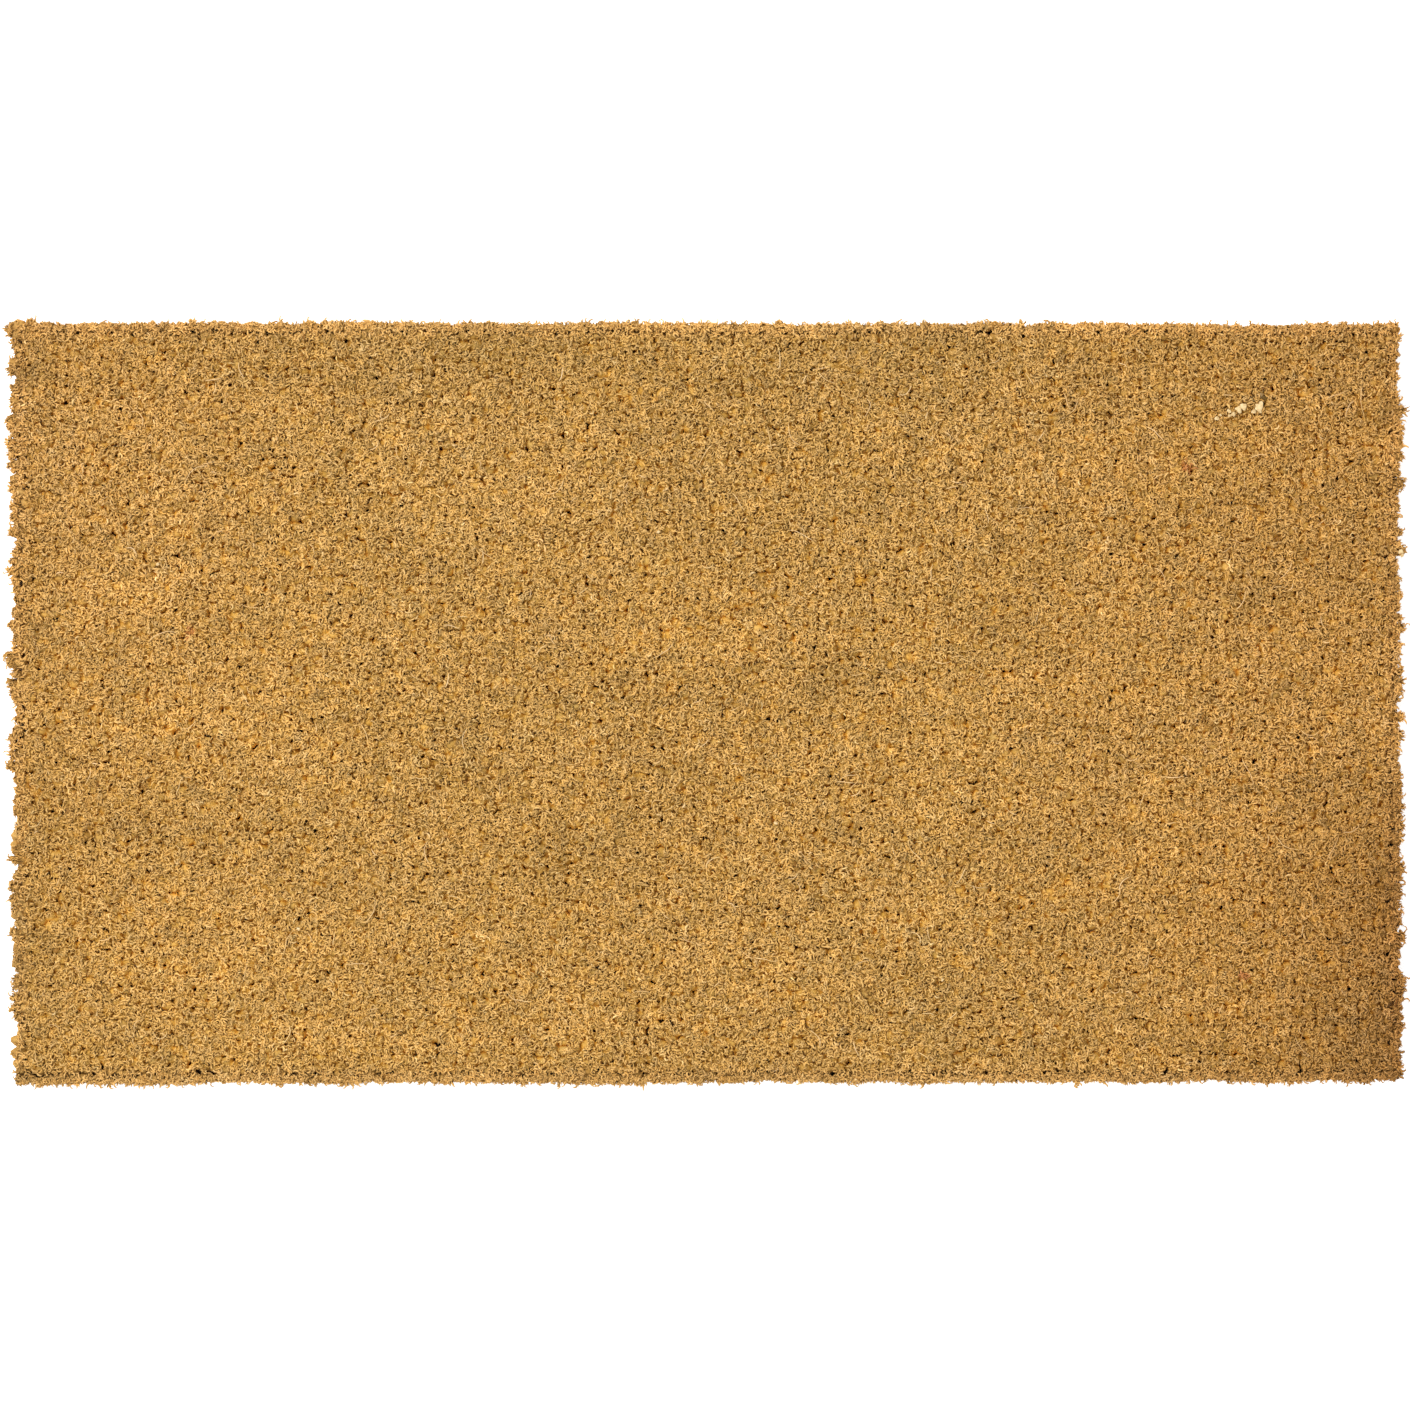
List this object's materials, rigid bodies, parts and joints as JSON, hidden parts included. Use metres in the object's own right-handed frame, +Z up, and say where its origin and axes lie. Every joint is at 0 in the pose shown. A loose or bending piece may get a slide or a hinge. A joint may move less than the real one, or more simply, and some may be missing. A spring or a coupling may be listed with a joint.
{
  "type": "door mat",
  "caption": "Rectangular vinyl-backed coir door mat: rows of short coir yarn tufts set in a thin PVC sheet and sheared level, with plain cut edges.",
  "frame": {"origin": "centre of the underside of the backing, where the mat rests on the floor", "axes": "+X along the long side, +Y along the short side, +Z up out of the pile"},
  "size_m": [0.6, 0.328, 0.015],
  "materials": {
    "coir_pile": "coarse natural coir fibre, matte, golden brown",
    "pvc_sheet": "dark flexible vinyl, matte, with a fine moulded texture underneath"
  },
  "bodies": {
    "root": {"pvc_backing": "pvc_sheet", "tuft_rows_01": "coir_pile", "tuft_rows_02": "coir_pile", "tuft_rows_03": "coir_pile", "tuft_rows_04": "coir_pile", "tuft_rows_05": "coir_pile", "tuft_rows_06": "coir_pile", "tuft_rows_07": "coir_pile", "tuft_rows_08": "coir_pile", "tuft_rows_09": "coir_pile", "tuft_rows_10": "coir_pile", "tuft_rows_11": "coir_pile", "tuft_rows_12": "coir_pile", "tuft_rows_13": "coir_pile", "tuft_rows_14": "coir_pile", "tuft_rows_15": "coir_pile", "tuft_rows_16": "coir_pile", "tuft_rows_17": "coir_pile", "tuft_rows_18": "coir_pile", "tuft_rows_19": "coir_pile", "tuft_rows_20": "coir_pile", "tuft_rows_21": "coir_pile", "tuft_rows_22": "coir_pile", "tuft_rows_23": "coir_pile", "tuft_rows_24": "coir_pile", "tuft_rows_25": "coir_pile", "tuft_rows_26": "coir_pile"}
  },
  "joints": []
}
